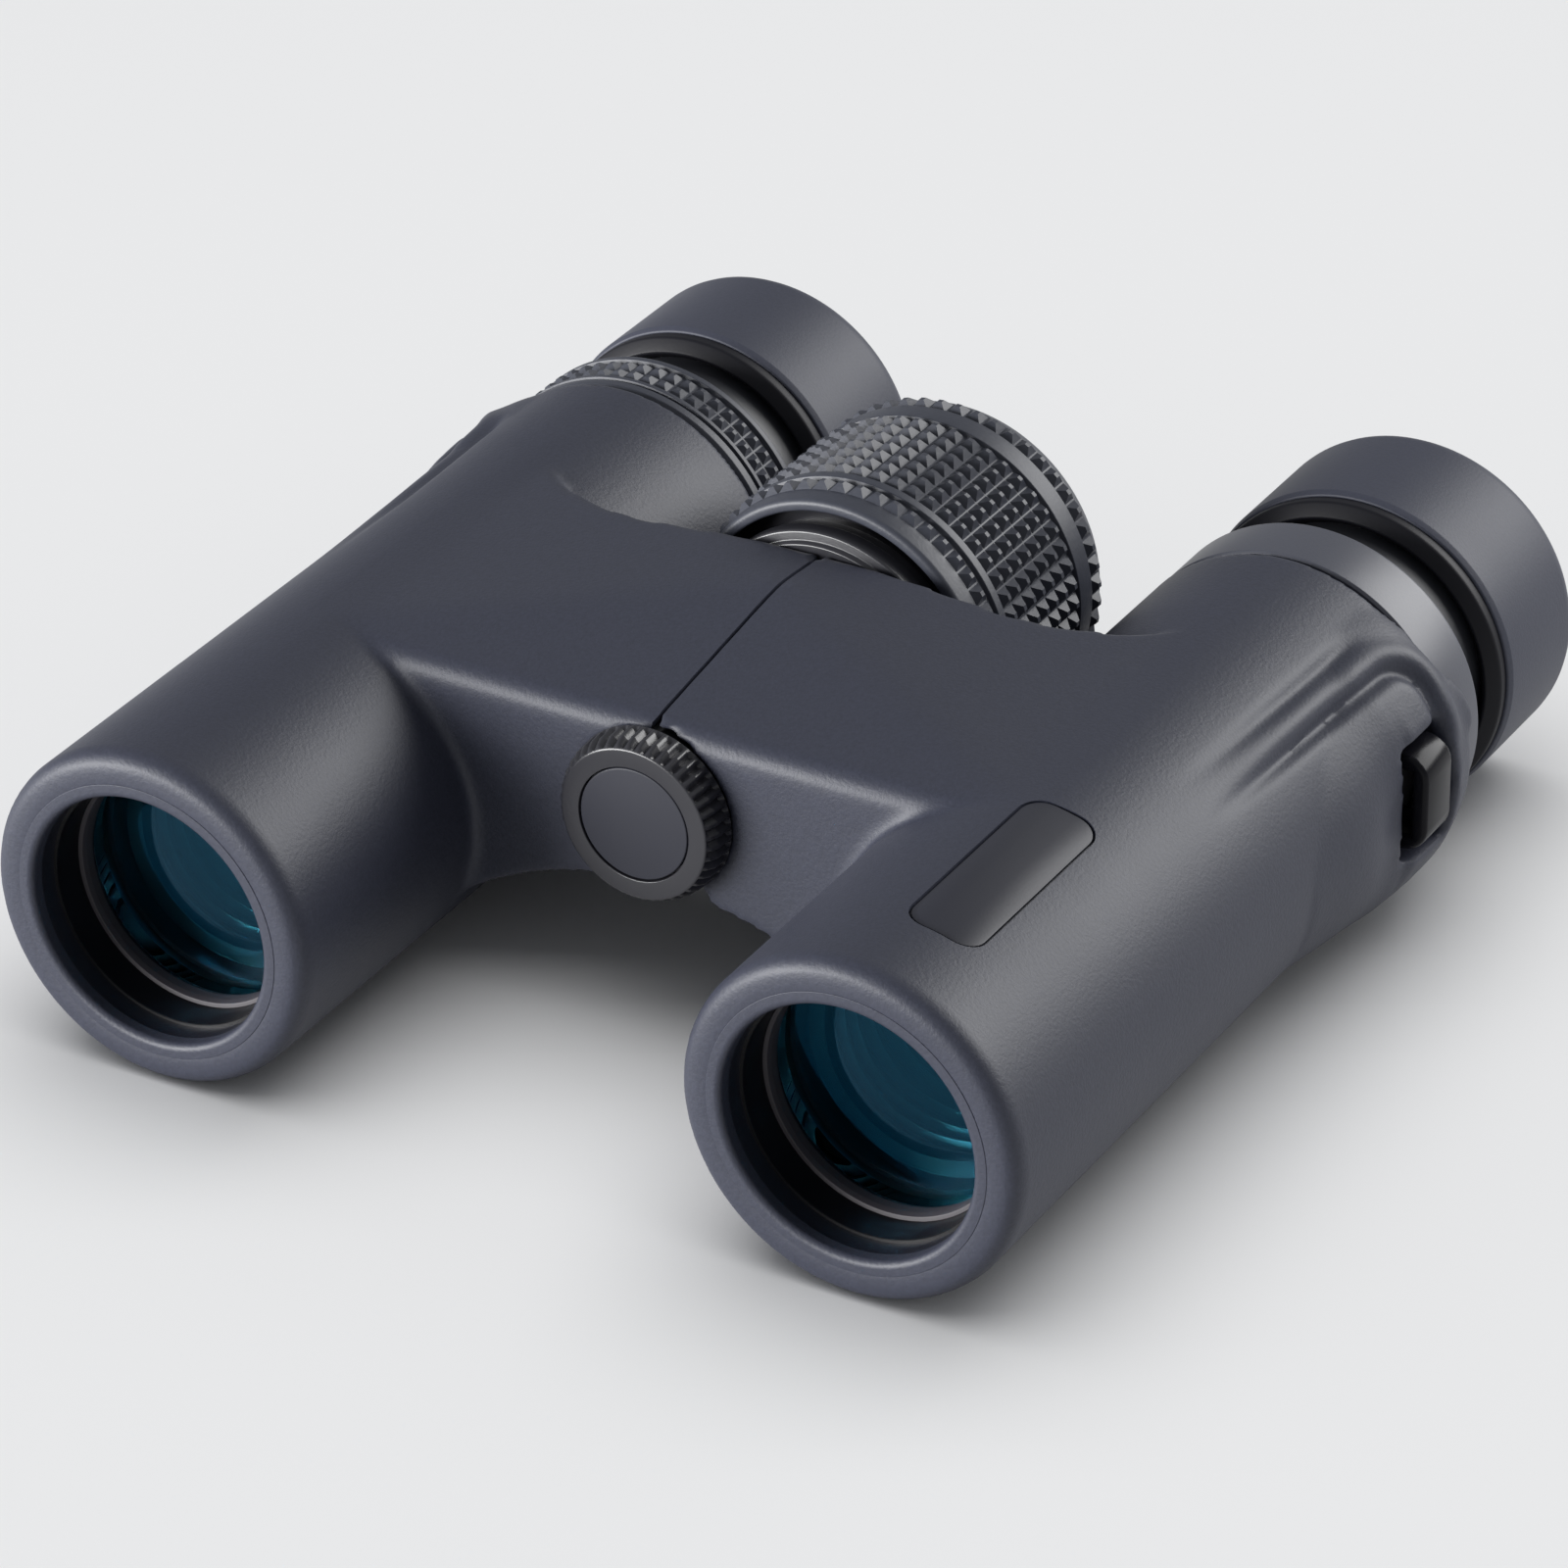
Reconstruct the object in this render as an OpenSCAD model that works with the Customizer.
// Compact roof-prism binoculars, 8x25 class, with a single centre hinge.
// +X is the right barrel, +Y runs from the objectives to the eyepieces, +Z is up.
// The origin lies midway along the body, under the hinge, on the surface it stands on.
// "Station" below means the distance behind the front lip, measured along +Y.

/* [Barrels] */
// Distance between the two barrel axes with the hinge fully open
barrel_spacing = 75; // [70:0.5:92]
// Outer radius of the armoured barrels
barrel_r = 17.4; // [16.9:0.1:20]
// Length of the armour from the front lip to the eyepiece rings
armour_len = 86.2; // [85:0.2:110]
// Thickness of the rubber armour
armour_wall = 2.0; // [1.2:0.1:2.4]
// Wall thickness of the metal barrel tube
tube_wall = 2.7; // [2:0.1:3]
// Radius of the opening in the armour's front lip
lip_mouth_r = 13.0; // [12.5:0.1:14]
// How much the armour swells towards the eyepieces
rear_swell = 0.2; // [0:0.1:0.5]

/* [Bridge and hinge] */
// Station of the bridge's front face
bridge_front = 29.6; // [24:0.2:32]
// Length of the bridge along the barrels
bridge_len = 31.7; // [31:0.1:38]
// Height of the hinge axis above the barrel axes
hinge_rise = 7.9; // [7:0.1:9.5]
// How far the deck's front edge lies below the top of the barrels
deck_drop = 0.3; // [0:0.1:0.8]
// How far the deck's crest stands above the top of the barrels
deck_rise = 3.1; // [2:0.1:4.5]
// Outer radius of the hinge knuckles
knuckle_r = 8.0; // [7.8:0.1:8.6]
// Outer radius of the hollow hinge shaft
shaft_r = 4.0; // [3.6:0.1:4.8]
// Radius of the bore through the hinge shaft
shaft_bore_r = 2.5; // [2.2:0.1:3]
// Width of the seam between the two halves of the deck
seam_gap = 0.4; // [0.2:0.05:0.6]

/* [Strap lugs] */
// How far the hood around a lug stands out from the barrel
hood_out = 3.2; // [2.6:0.1:4]
// Height of the strap lug
lug_height = 10.4; // [8:0.2:12]
// Length of the strap lug along the barrel
lug_len = 5.6; // [4:0.2:7]
// Thickness of the lug's bar
lug_bar = 1.7; // [1.2:0.1:2]
// Width of the gap that the strap passes through
lug_gap = 2.3; // [1.8:0.1:2.5]

/* [Badge] */
// Station of the badge's front edge
badge_start = 9.9; // [6:0.1:12]
// Length of the badge along the barrel
badge_len = 24.5; // [15:0.5:30]
// Depth of the badge's seat in the armour
badge_depth = 0.7; // [0.4:0.1:1]

/* [Focusing] */
// Outer radius of the focus wheel over its grip
wheel_r = 17.0; // [15.5:0.1:18.5]
// Length of the focus wheel
wheel_len = 25.3; // [20:0.1:30]
// Radius of the hub collar in front of the focus wheel
collar_r = 13.8; // [11:0.1:14]
// Number of grip ribs round the focus wheel
wheel_ribs = 52; // [30:1:60]
// Distance that the focusing lenses travel to each side of the middle
focus_travel = 2.0; // [1:0.1:2.2]
// Outer radius of the carriage disc that moves both focusing lenses
carriage_r = 7.0; // [6.4:0.1:7.2]

/* [Eyepieces] */
// Outer radius of the eyepiece tube
eye_tube_r = 14.2; // [13.6:0.1:14.4]
// Wall thickness of the eyepiece tube
eye_tube_wall = 3.2; // [2.4:0.1:3.6]
// Outer radius of the ring in front of each eyecup
ring_r = 17.5; // [16.6:0.1:18]
// Length of the ring in front of each eyecup
ring_len = 7.5; // [6:0.1:10]
// Outer radius of the rubber eyecups
cup_r = 17.0; // [16.8:0.1:19]
// Length of each eyecup
cup_len = 18.2; // [17:0.1:22]
// Distance that an eyecup screws down
cup_travel = 5.0; // [3:0.1:6]
// Radius of the opening in the eyecup's rim
cup_mouth_r = 11.8; // [10:0.1:13]

/* [Front cap] */
// Outer radius of the cap over the front end of the hinge
cap_r = 8.7; // [8.2:0.1:9.5]
// Height of the front cap
cap_len = 3.4; // [2.8:0.1:4]
// Number of grip grooves round the front cap
cap_grooves = 44; // [24:1:60]

/* [Fits] */
// Radial clearance of a running fit
run_gap = 0.05; // [0.02:0.01:0.1]
// Radial clearance between the knuckles and the other half
knuckle_gap = 0.3; // [0.25:0.05:0.4]
// Clearance between end faces that turn or slide past each other
end_gap = 0.15; // [0.1:0.05:0.3]

/* [Hidden] */

far = 200;
round_fn = 96;
barrel_x = barrel_spacing / 2;
tube_r = barrel_r - armour_wall;
bore_r = tube_r - tube_wall;
rear_r = barrel_r + rear_swell;
deck_front = barrel_r - deck_drop;
deck_crest = barrel_r + deck_rise;
bridge_rear = bridge_front + bridge_len;

// Stations along the barrel, front to back
tube_front = 3.7;
ring_front = 7.1;
lens_front = ring_front + 2.6;
baffle_front = lens_front + 4;
ring_start = armour_len + 0.2;
ring_end = ring_start + ring_len;
cup_start = ring_end + cup_travel + 0.3;
total_len = cup_start + cup_len;
mid_station = total_len / 2;

// The hinge: left knuckles at the two ends, right knuckles inside them
knuckle_end_len = 7;
gap_mid = bridge_front + bridge_len / 2;
fork_wall = 1.25;
disc_thick = 1.6;
fork_half = disc_thick / 2 + run_gap + fork_wall;
gap_half = fork_half + focus_travel + end_gap;
left_front_end = bridge_front + knuckle_end_len;
left_rear_start = bridge_rear - knuckle_end_len;
clear_r = knuckle_r + knuckle_gap;
fold_keep = 35;

// Optics between the baffle and the eyepiece
cell_half = 2.8;
cell_lens_r = bore_r - run_gap - 2.1;
baffle_end = gap_mid - cell_half - focus_travel - 0.4;
cage_start = gap_mid + cell_half + focus_travel + 1;
cage_end = armour_len - 6;
prism_side = 17;
objective_ball = 60;
rim_relief = 0.05;

// Eyepiece
eye_bore_r = eye_tube_r - eye_tube_wall;
eye_tube_end = total_len - 2.4 - cup_travel - 2.5;
eye_lens_end = eye_tube_end - 1.5;
eye_ball = 40;
field_start = armour_len - 1;
field_len = 4;
diopter_travel = 0.6;
sleeve_r = 15.4;
cup_floor = total_len - 2.4;
guide_start = cup_start + 2;
guide_len = 2;

// Strap lug, placed from the hood that surrounds it
hood_r = rear_r - 0.7;
hood_tilt = -12;
hood_x = barrel_x + hood_out * cos(hood_tilt);
hood_z = hood_out * sin(hood_tilt);
floor_drop = max(rear_r, hood_r - hood_z);
lug_mid = armour_len - 6.8;
lug_out = tube_r + 0.6 + lug_gap + lug_bar;
pocket_margin = 1.2;

// Badge, turned up from straight outwards
badge_angle = 77;
badge_half = 12.5;

// Focus wheel
wheel_front = bridge_rear + 2.6;
wheel_rear = wheel_front + wheel_len;
wheel_recess = 3;
wheel_core_r = wheel_r - 2.2;
grip_depth = 0.8;
shaft_end = wheel_front + wheel_len * 0.62;
rod_r = shaft_bore_r - run_gap;
rod_front = gap_mid - 8;
rod_end = shaft_end + 5;

// ---------- shared shapes ----------

// Puts a shape drawn at barrel height and front-lip stations into the part's frame
module place() translate([0, -mid_station, floor_drop]) children();

// Makes the left barrel's copy of a right-hand shape
module on_side(side) mirror([side < 0 ? 1 : 0, 0, 0]) children();

// Turns an outline of [radius, station] points about an axis along +Y
module turned(points, x = barrel_x, z = 0)
    translate([x, 0, z]) rotate([-90, 0, 0]) rotate_extrude($fn = round_fn) polygon(points);

// A plain round bar along +Y
module bar(r, from, to, x = barrel_x, z = 0)
    translate([x, from, z]) rotate([-90, 0, 0]) cylinder(r = r, h = to - from, $fn = round_fn);

// A tube along +Y
module tube(r_out, r_in, from, to, x = barrel_x, z = 0)
    difference() {
        bar(r_out, from, to, x, z);
        bar(r_in, from - 1, to + 1, x, z);
    }

// Extrudes an [x, z] outline along +Y
module along_y(points, from, to)
    translate([0, to, 0]) rotate([90, 0, 0]) linear_extrude(to - from) polygon(points);

// Extrudes a [station, z] outline along +X
module along_x(points, from, to)
    translate([from, 0, 0]) rotate([90, 0, 90]) linear_extrude(to - from) polygon(points);

// Points of an arc about a centre
function arc(cx, cy, r, from, to, steps) =
    [for (i = [0 : steps]) let (a = from + (to - from) * i / steps) [cx + r * cos(a), cy + r * sin(a)]];

// Height of a spherical lens face above its rim, at a radius
function crown(radius, rim, r) = sqrt(radius * radius - r * r) - sqrt(radius * radius - rim * rim);

// Outline of a lens with a crowned front and a crowned or hollow back
function lens_outline(rim, front, back, front_ball, back_ball, steps = 8) = concat(
    [for (i = [0 : steps]) let (r = rim * i / steps) [r, front - crown(front_ball, rim, r)]],
    [for (i = [steps : -1 : 0]) let (r = rim * i / steps)
        [r, back + sign(back_ball) * crown(abs(back_ball), rim, r)]]);

// ---------- armour and housing ----------

module barrel_body() {
    lip_round = 1.8;
    turned(concat(
        [[0, 0.6], [lip_mouth_r, 0.6]],
        arc(lip_mouth_r + 1.4, 1.4, 1.4, 200, 270, 5),
        arc(barrel_r - lip_round, lip_round, lip_round, 270, 360, 7),
        [[barrel_r, armour_len * 0.7], [rear_r, armour_len * 0.86], [rear_r, armour_len - 0.4],
         [rear_r - 0.4, armour_len], [0, armour_len]]));
}

// The bridge between the hinge plane and one barrel, drawn in by inset for the metal core
module bridge_body(inset) {
    front = bridge_front + inset;
    rear = bridge_rear - inset;
    nose = 2.4;
    arch_top = -0.5;
    arch_r = 36.7;
    arch_drop = 8;
    sweep_r = 27;
    sweep_x = 17;
    sweep_end = asin((barrel_x - sweep_x) / sweep_r * 0.92);
    difference() {
        intersection() {
            along_y([[0, -arch_drop], [barrel_x, -arch_drop], [barrel_x, barrel_r - inset],
                     [barrel_x - 2.5, barrel_r - inset], [0, deck_crest - inset]], front - 1, far);
            along_x(concat(
                [[front, -barrel_r]],
                arc(front + nose, deck_front - inset - nose, nose, 180, 98, 6),
                [[front + 24, deck_crest - inset], [bridge_rear - 2, deck_crest - 0.6 - inset],
                 [far, deck_crest - 0.8 - inset], [far, -barrel_r]]), -1, barrel_x);
            translate([0, 0, -far / 2]) linear_extrude(far) polygon(concat(
                [[0, front - 1], [barrel_x, front - 1]],
                [[barrel_x, rear + sweep_r * (1 - cos(sweep_end))]],
                arc(sweep_x, rear + sweep_r, sweep_r, -90 + sweep_end, -90, 8),
                [[0, rear]]));
        }
        bar(arch_r + inset, 0, far, 0, arch_top - arch_r);
        fold_wedge();
    }
}

// Room under the hinge, so that the halves can fold without meeting
module fold_wedge()
    along_y([[0, hinge_rise], [far * sin(fold_keep), hinge_rise - far * cos(fold_keep)], [-1, -far]],
            0, far);

// The swelling around a strap lug
module hood_body() {
    difference() {
        turned([[0, armour_len - 28], [hood_r - 2.5, armour_len - 28], [hood_r - 1.6, armour_len - 21],
                [hood_r - 1, armour_len - 15.7], [hood_r - 0.3, armour_len - 11],
                [hood_r, armour_len - 6],
                [hood_r, armour_len - 2], [hood_r - 0.7, armour_len + 1.5],
                [hood_r - 1.5, armour_len + 3.2], [0, armour_len + 3.2]], hood_x, hood_z);
        bar(ring_r + 0.5, armour_len, far);
        translate([0, armour_len, 6.5]) cube([far, far, far]);
        translate([0, armour_len, -10.5 - far]) cube([far, far, far]);
        translate([barrel_x - far, armour_len, -far / 2]) cube([far, far, far]);
    }
}

// Knuckles of one half; the left half has the two ends and the right half the long middle
module knuckles(side)
    if (side < 0) {
        bar(knuckle_r, bridge_front, left_front_end, 0, hinge_rise);
        bar(knuckle_r, left_rear_start, bridge_rear, 0, hinge_rise);
    } else {
        bar(knuckle_r, left_front_end + end_gap, left_rear_start - end_gap, 0, hinge_rise);
    }

// Space taken round the hinge by the other half's knuckles
module knuckle_room(side)
    if (side < 0) {
        bar(clear_r, left_front_end, left_rear_start, 0, hinge_rise);
    } else {
        bar(clear_r, 0, left_front_end + end_gap, 0, hinge_rise);
        bar(clear_r, left_rear_start - end_gap, far, 0, hinge_rise);
    }

// Chamber for the carriage inside the middle knuckle, with a window for the left arm's swing
module carriage_chamber() {
    window_top = 160;
    window_bottom = 262;
    reach = 2 * knuckle_r;
    bar(carriage_r + 0.2, gap_mid - gap_half, gap_mid + gap_half, 0, hinge_rise);
    along_y(concat([[0, hinge_rise]], arc(0, hinge_rise, reach, window_top, window_bottom, 6)),
            gap_mid - gap_half, gap_mid + gap_half);
}

// Slot that the focusing arm moves in
module arm_slot()
    translate([5, gap_mid - gap_half, hinge_rise - 2.1])
        cube([barrel_x - 5 - bore_r * 0.6, 2 * gap_half, 4.2]);

// Metal chassis before its bores are cut, drawn on the right-hand side
module core_body(side) {
    bar(tube_r, tube_front, armour_len);
    difference() {
        bridge_body(armour_wall - 0.4);
        translate([seam_gap / 2 - far, 0, -far / 2]) cube([far, far, far]);
        knuckle_room(side);
    }
    knuckles(side);
}

module housing(side) color("dimgray") place() on_side(side)
    difference() {
        core_body(side);
        bar(bore_r, tube_front - 1, armour_len + 1);
        bar(shaft_r + (side < 0 ? run_gap : 0), 0, far, 0, hinge_rise);
        arm_slot();
        if (side > 0) carriage_chamber();
    }

module armour(side) color("darkslategray") place() on_side(side)
    difference() {
        union() {
            barrel_body();
            difference() {
                bridge_body(0);
                translate([seam_gap / 2 - far, 0, -far / 2]) cube([far, far, far]);
                knuckle_room(side);
            }
            hood_body();
        }
        core_body(side);
        bar(lip_mouth_r, -1, tube_front + 1);
        bar(tube_r, tube_front, far);
        arm_slot();
        lug_pocket();
        if (side > 0) badge_pocket();
    }

module lug_pocket()
    translate([barrel_x + 8, lug_mid - lug_len / 2 - pocket_margin, -lug_height / 2 - pocket_margin])
        cube([far, lug_len + 2 * pocket_margin, lug_height + 2 * pocket_margin]);

// Outline of the badge's seat across the barrel, from a flat floor up to a radius
function badge_outline(depth, top_r, half) = concat(
    [let (r = barrel_r - depth) for (a = [badge_angle - half, badge_angle + half])
        [barrel_x + r * cos(a), r * sin(a)]],
    arc(barrel_x, 0, top_r, badge_angle + half, badge_angle - half, 8));

// Shallow seat for the badge on top of the right barrel
module badge_pocket()
    along_y(badge_outline(badge_depth, barrel_r + 2, badge_half), badge_start, badge_start + badge_len);

module badge_plate() color("black") place()
    along_y(badge_outline(badge_depth, barrel_r - 0.25, badge_half - 0.5),
            badge_start + 0.15, badge_start + badge_len - 0.15);

module strap_lug(side) color("black") place() on_side(side)
    difference() {
        half = lug_height / 2;
        corner = 2.6;
        along_y(concat(
            [[barrel_x + 10, -half]],
            arc(barrel_x + lug_out - corner, -half + corner, corner, -90, 0, 6),
            arc(barrel_x + lug_out - corner, half - corner, corner, 0, 90, 6),
            [[barrel_x + 10, half]]), lug_mid - lug_len / 2, lug_mid + lug_len / 2);
        bar(tube_r, 0, far);
        translate([barrel_x + 10, 0, -half + lug_bar])
            cube([lug_out - lug_bar - 10, far, lug_height - 2 * lug_bar]);
    }

// ---------- objective end ----------

// The ring's rear face leans forward, so that it meets the lens at its rim only
module objective_ring(side) color("black") place() on_side(side) {
    inner_r = bore_r - 0.5;
    turned([[inner_r, ring_front], [bore_r, ring_front], [bore_r, lens_front],
            [inner_r, lens_front - crown(objective_ball, bore_r, inner_r) - rim_relief]]);
}

module objective_lens(side) color("teal", 0.5) place() on_side(side)
    turned(lens_outline(bore_r, lens_front, baffle_front, objective_ball, 90));

module baffle(side) color("black") place() on_side(side) {
    step = 3.2;
    steps = floor((baffle_end - baffle_front - 5) / step);
    turned(concat(
        [[bore_r, baffle_end], [bore_r, baffle_front + 1.6], [bore_r - 0.9, baffle_front + 1.6],
         [bore_r - 0.9, baffle_front + 3.4], [bore_r - 2.4, baffle_front + 3.4]],
        [for (i = [0 : steps - 1]) each let (y = baffle_front + 4 + i * step, r = bore_r - 2.4 - 0.25 * i)
            [[r, y], [r + 0.5, y + 0.4], [r + 0.5, y + step - 0.4], [r - 0.25, y + step]]],
        [[bore_r - 2.6 - 0.25 * steps, baffle_end]]));
}

// ---------- focusing ----------

module focus_cell(side) color("black") place() on_side(side) {
    cell_r = bore_r - run_gap;
    difference() {
        union() {
            bar(cell_r, gap_mid - cell_half, gap_mid + cell_half);
            translate([carriage_r - 1.4, gap_mid - 1.6, hinge_rise - 1.5])
                cube([barrel_x - carriage_r - 3, 3.2, 3]);
            translate([carriage_r - 1.4, gap_mid - fork_half, hinge_rise - 1.5])
                cube([3.4, 2 * fork_half, 3]);
        }
        bar(cell_lens_r, 0, far);
        bar(carriage_r + run_gap, gap_mid - disc_thick / 2 - run_gap,
            gap_mid + disc_thick / 2 + run_gap, 0, hinge_rise);
    }
}

module focus_lens(side) color("teal", 0.5) place() on_side(side)
    turned(lens_outline(cell_lens_r, gap_mid - 1, gap_mid + 1, 60, 60));

// The disc that both focusing arms grip, with the bar that joins it to the rod
module focus_carriage() color("goldenrod") place() difference() {
    union() {
        tube(carriage_r, shaft_r + run_gap + 0.1, gap_mid - disc_thick / 2, gap_mid + disc_thick / 2,
             0, hinge_rise);
        translate([-shaft_r - 1, gap_mid - disc_thick / 2, hinge_rise - 1])
            cube([2 * shaft_r + 2, disc_thick, 2]);
    }
    bar(rod_r, 0, far, 0, hinge_rise);
}

module focus_rod() color("goldenrod") place() bar(rod_r, rod_front, rod_end, 0, hinge_rise);

module hinge_shaft() color("silver") place() difference() {
    tube(shaft_r, shaft_bore_r, bridge_front + 0.2, shaft_end, 0, hinge_rise);
    translate([-far / 2, gap_mid - disc_thick / 2 - focus_travel - end_gap, hinge_rise - 1 - run_gap])
        cube([far, disc_thick + 2 * focus_travel + 2 * end_gap, 2 + 2 * run_gap]);
}

module hub_collar() color("dimgray") place()
    turned([[shaft_r, bridge_rear + 0.1], [collar_r - 0.3, bridge_rear + 0.1],
            [collar_r, bridge_rear + 0.4], [collar_r, wheel_front + 1.4],
            [shaft_r, wheel_front + 1.4]], 0, hinge_rise);

module wheel_core() color("black") place()
    turned([[shaft_r + run_gap, wheel_front + 1.6], [collar_r - 1, wheel_front + 1.6],
            [collar_r - 1, wheel_front + wheel_recess], [wheel_core_r, wheel_front + wheel_recess],
            [wheel_core_r, wheel_rear - 3], [shaft_r + run_gap, wheel_rear - 3]], 0, hinge_rise);

// Rubber sleeve with ribs round its middle
module wheel_grip() color("dimgray") place() difference() {
    base_r = wheel_r - grip_depth * 0.4;
    turned([[collar_r + 1.3, wheel_front + 0.5], [base_r - 0.5, wheel_front],
            [base_r, wheel_front + 0.5], [wheel_r, wheel_front + 4],
            [wheel_r, wheel_rear - 6.5], [base_r, wheel_rear - 3.5],
            [base_r - 0.9, wheel_rear - 0.8], [base_r - 1.8, wheel_rear],
            [wheel_core_r - 0.8, wheel_rear], [wheel_core_r - 0.8, wheel_rear - 3],
            [wheel_core_r, wheel_rear - 3], [wheel_core_r, wheel_front + wheel_recess],
            [collar_r + 1.3, wheel_front + wheel_recess]], 0, hinge_rise);
    for (i = [0 : wheel_ribs - 1])
        translate([0, 0, hinge_rise]) rotate([0, 360 / wheel_ribs * i, 0])
            translate([wheel_r, wheel_front + 5.8, 0]) rotate([0, 45, 0])
                translate([-0.45, 0, -0.45]) cube([0.9, wheel_len - 11.6, 0.9]);
}

module wheel_cap() color("black") place() difference() {
    turned([[0, wheel_rear - 3], [wheel_core_r - 0.8, wheel_rear - 3],
            [wheel_core_r - 0.8, wheel_rear - 0.6], [wheel_core_r - 1.4, wheel_rear - 0.2],
            [0, wheel_rear - 0.2]], 0, hinge_rise);
    bar(rod_r + 0.1, 0, rod_end + focus_travel + 0.5, 0, hinge_rise);
}

// ---------- prisms ----------

module prism_cage(side) color("gray") place() on_side(side) difference() {
    bar(bore_r, cage_start, cage_end);
    translate([barrel_x - prism_side / 2, 0, -prism_side / 2]) cube([prism_side, far, prism_side]);
}

module front_prism(side) color("lightblue", 0.5) place() on_side(side) {
    half = prism_side / 2;
    along_x([[cage_start + 1, -half], [cage_start + 1, half], [cage_start + 6, half],
             [cage_start + 12, -half]], barrel_x - half, barrel_x + half);
}

module roof_prism(side) color("lightblue", 0.5) place() on_side(side) {
    half = prism_side / 2;
    along_x([[cage_start + 12.6, -half], [cage_start + 6.6, half], [cage_end - 4, half],
             [cage_end - 1, 2], [cage_end - 1, -half]], barrel_x - half, barrel_x + half);
}

// ---------- eyepieces ----------

module eyepiece_tube(side) color("black") place() on_side(side)
    turned([[eye_bore_r, cage_end + 0.5], [bore_r, cage_end + 0.5], [bore_r, armour_len],
            [eye_tube_r, armour_len], [eye_tube_r, eye_tube_end - 0.4],
            [eye_tube_r - 0.4, eye_tube_end], [eye_bore_r, eye_tube_end]]);

// The left cell slides with the diopter ring, so it runs in the tube; the right one is fixed
module field_cell(side) color("black") place() on_side(side)
    tube(eye_bore_r - (side < 0 ? run_gap : 0), eye_bore_r - 1.6, field_start, field_start + field_len);

module field_lens(side) color("lightblue", 0.5) place() on_side(side)
    turned(lens_outline(eye_bore_r - 1.6, field_start + 1, field_start + field_len - 1, 40, 60));

module eye_lens(side) color("lightblue", 0.5) place() on_side(side)
    turned(lens_outline(eye_bore_r, eye_lens_end - 4, eye_lens_end, eye_ball, eye_ball));

module eye_ring(side) color("black") place() on_side(side) {
    inner_r = eye_bore_r - 1.2;
    turned([[inner_r, eye_lens_end + crown(eye_ball, eye_bore_r, inner_r) + rim_relief],
            [eye_bore_r, eye_lens_end], [eye_bore_r, eye_tube_end], [inner_r, eye_tube_end]]);
}

module trim_ring() color("gray") place()
    turned([[eye_tube_r, ring_start], [ring_r - 0.2, ring_start], [ring_r, ring_start + 0.2],
            [ring_r - 0.1, ring_end - 0.5], [ring_r - 0.6, ring_end], [eye_tube_r, ring_end]]);

// Knurled ring that sets the left eyepiece to the user's eye
module diopter_ring() color("dimgray") place() on_side(-1) difference() {
    turned([[eye_tube_r + run_gap, ring_start], [ring_r - 0.2, ring_start],
            [ring_r, ring_start + 0.2], [ring_r, ring_end - 0.7], [ring_r - 0.5, ring_end],
            [eye_tube_r + run_gap, ring_end]]);
    for (i = [0 : wheel_ribs - 1])
        translate([barrel_x, 0, 0]) rotate([0, 360 / wheel_ribs * i, 0])
            translate([ring_r, ring_start + 1.6, 0]) rotate([0, 45, 0])
                translate([-0.4, 0, -0.4]) cube([0.8, ring_len - 3, 0.8]);
}

module cup_guide(side) color("silver") place() on_side(side)
    tube(sleeve_r - 0.4 - run_gap, eye_tube_r + run_gap, guide_start, guide_start + guide_len);

module cup_sleeve(side) color("black") place() on_side(side) {
    groove_r = sleeve_r - 0.4;
    wall_r = eye_tube_r + run_gap;
    turned([[wall_r, cup_start + 0.6], [sleeve_r, cup_start + 0.6], [sleeve_r, cup_floor],
            [wall_r, cup_floor], [wall_r, guide_start + guide_len + end_gap],
            [groove_r, guide_start + guide_len + end_gap], [groove_r, guide_start - end_gap],
            [wall_r, guide_start - end_gap]]);
}

module eyecup(side) color("darkslategray") place() on_side(side) {
    edge = 3.2;
    turned(concat(
        [[sleeve_r, cup_floor], [sleeve_r, cup_start + 0.6], [sleeve_r, cup_start]],
        arc(cup_r - 1, cup_start + 1, 1, 270, 360, 4),
        arc(cup_r - edge, total_len - edge, edge, 0, 90, 8),
        [[cup_mouth_r + 0.6, total_len], [cup_mouth_r, total_len - 0.8], [cup_mouth_r, cup_floor]]));
}

// ---------- front cap ----------

module front_cap() color("dimgray") place() difference() {
    front = bridge_front - end_gap - cap_len;
    back = bridge_front - end_gap;
    union() {
        turned([[0, front], [cap_r - 1.5, front], [cap_r - 1.1, front + 0.4], [cap_r, back], [0, back]],
               0, hinge_rise);
        bar(rod_r, back - 1, back + 5, 0, hinge_rise);
    }
    bar(cap_r - 2.7, front - 1, front + 1, 0, hinge_rise);
    tube(cap_r - 1.4, cap_r - 3.2, back - 0.8, back + 1, 0, hinge_rise);
    for (i = [0 : cap_grooves - 1])
        translate([0, 0, hinge_rise]) rotate([0, 360 / cap_grooves * i, 0])
            translate([cap_r - 0.15, front + 0.9, 0]) rotate([-90, 0, 0])
                cylinder(r = 0.4, h = cap_len, $fn = 16);
}

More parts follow.
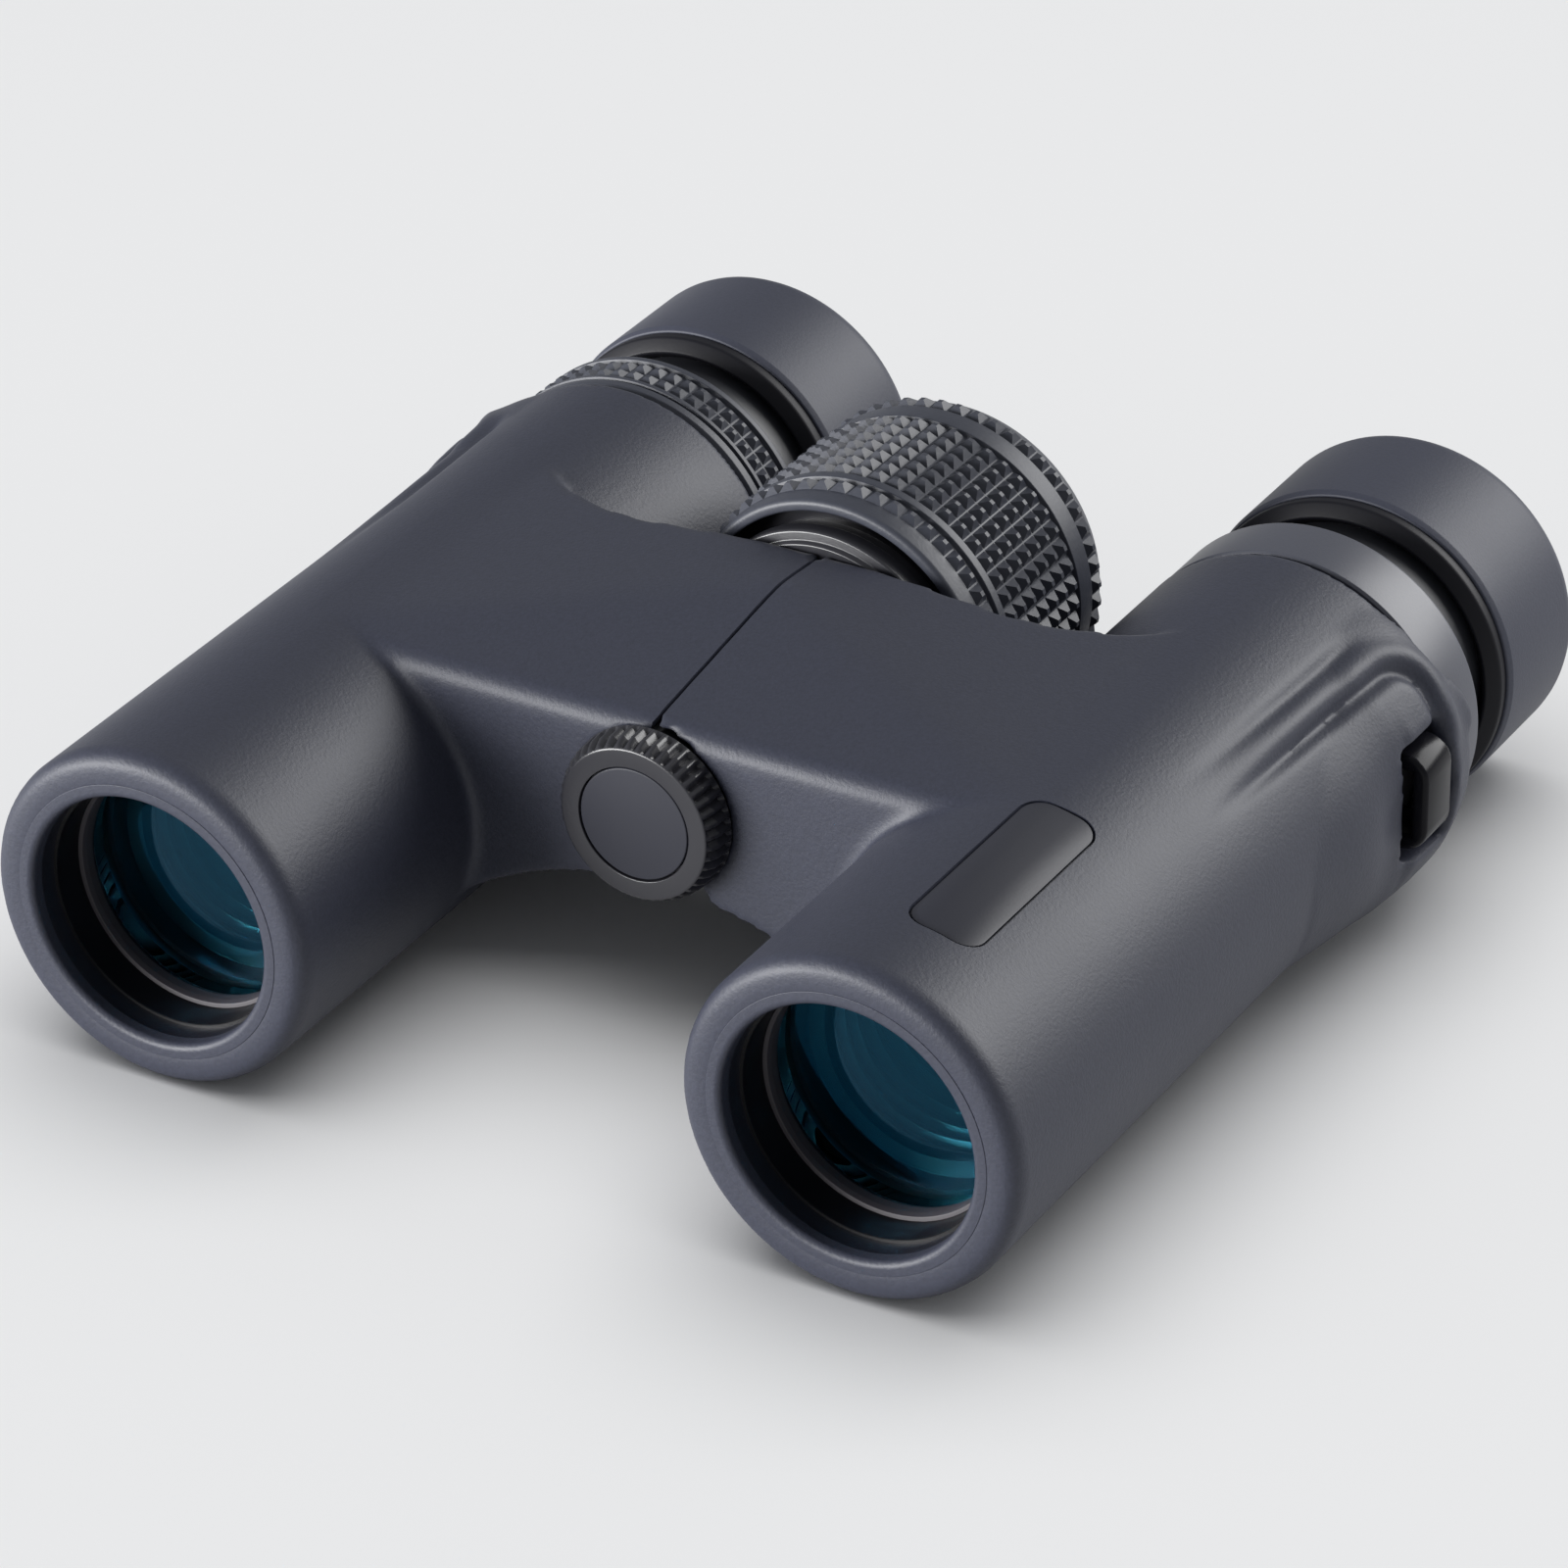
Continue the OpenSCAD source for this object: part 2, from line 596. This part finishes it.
module cap_disc() color("black") place() {
    front = bridge_front - end_gap - cap_len;
    turned([[0, front + 0.1], [cap_r - 3.2, front + 0.1], [cap_r - 2.9, front + 0.4],
            [cap_r - 2.9, front + 1], [0, front + 1]], 0, hinge_rise);
}

module cap_washer() color("black") place() {
    back = bridge_front - end_gap;
    tube(cap_r - 1.4 - run_gap, cap_r - 3.2 + run_gap, back - 0.7, back, 0, hinge_rise);
}

armour(1);  // right_armour
armour(-1);  // left_armour
housing(1);  // right_housing
housing(-1);  // left_housing
objective_ring(1);  // right_objective_ring
objective_ring(-1);  // left_objective_ring
objective_lens(1);  // right_objective_lens
objective_lens(-1);  // left_objective_lens
baffle(1);  // right_baffle
baffle(-1);  // left_baffle
focus_cell(1);  // right_focus_cell
focus_cell(-1);  // left_focus_cell
focus_lens(1);  // right_focus_lens
focus_lens(-1);  // left_focus_lens
prism_cage(1);  // right_prism_cage
prism_cage(-1);  // left_prism_cage
front_prism(1);  // right_front_prism
front_prism(-1);  // left_front_prism
roof_prism(1);  // right_roof_prism
roof_prism(-1);  // left_roof_prism
eyepiece_tube(1);  // right_eyepiece_tube
eyepiece_tube(-1);  // left_eyepiece_tube
field_cell(1);  // right_field_cell
field_cell(-1);  // left_field_cell
field_lens(1);  // right_field_lens
field_lens(-1);  // left_field_lens
eye_lens(1);  // right_eye_lens
eye_lens(-1);  // left_eye_lens
eye_ring(1);  // right_eye_ring
eye_ring(-1);  // left_eye_ring
trim_ring();  // right_trim_ring
diopter_ring();  // left_diopter_ring
cup_guide(1);  // right_cup_guide
cup_guide(-1);  // left_cup_guide
cup_sleeve(1);  // right_cup_sleeve
cup_sleeve(-1);  // left_cup_sleeve
eyecup(1);  // right_eyecup
eyecup(-1);  // left_eyecup
strap_lug(1);  // right_strap_lug
strap_lug(-1);  // left_strap_lug
badge_plate();
hinge_shaft();
hub_collar();
focus_rod();
focus_carriage();
wheel_core();
wheel_grip();
wheel_cap();
front_cap();
cap_disc();
cap_washer();
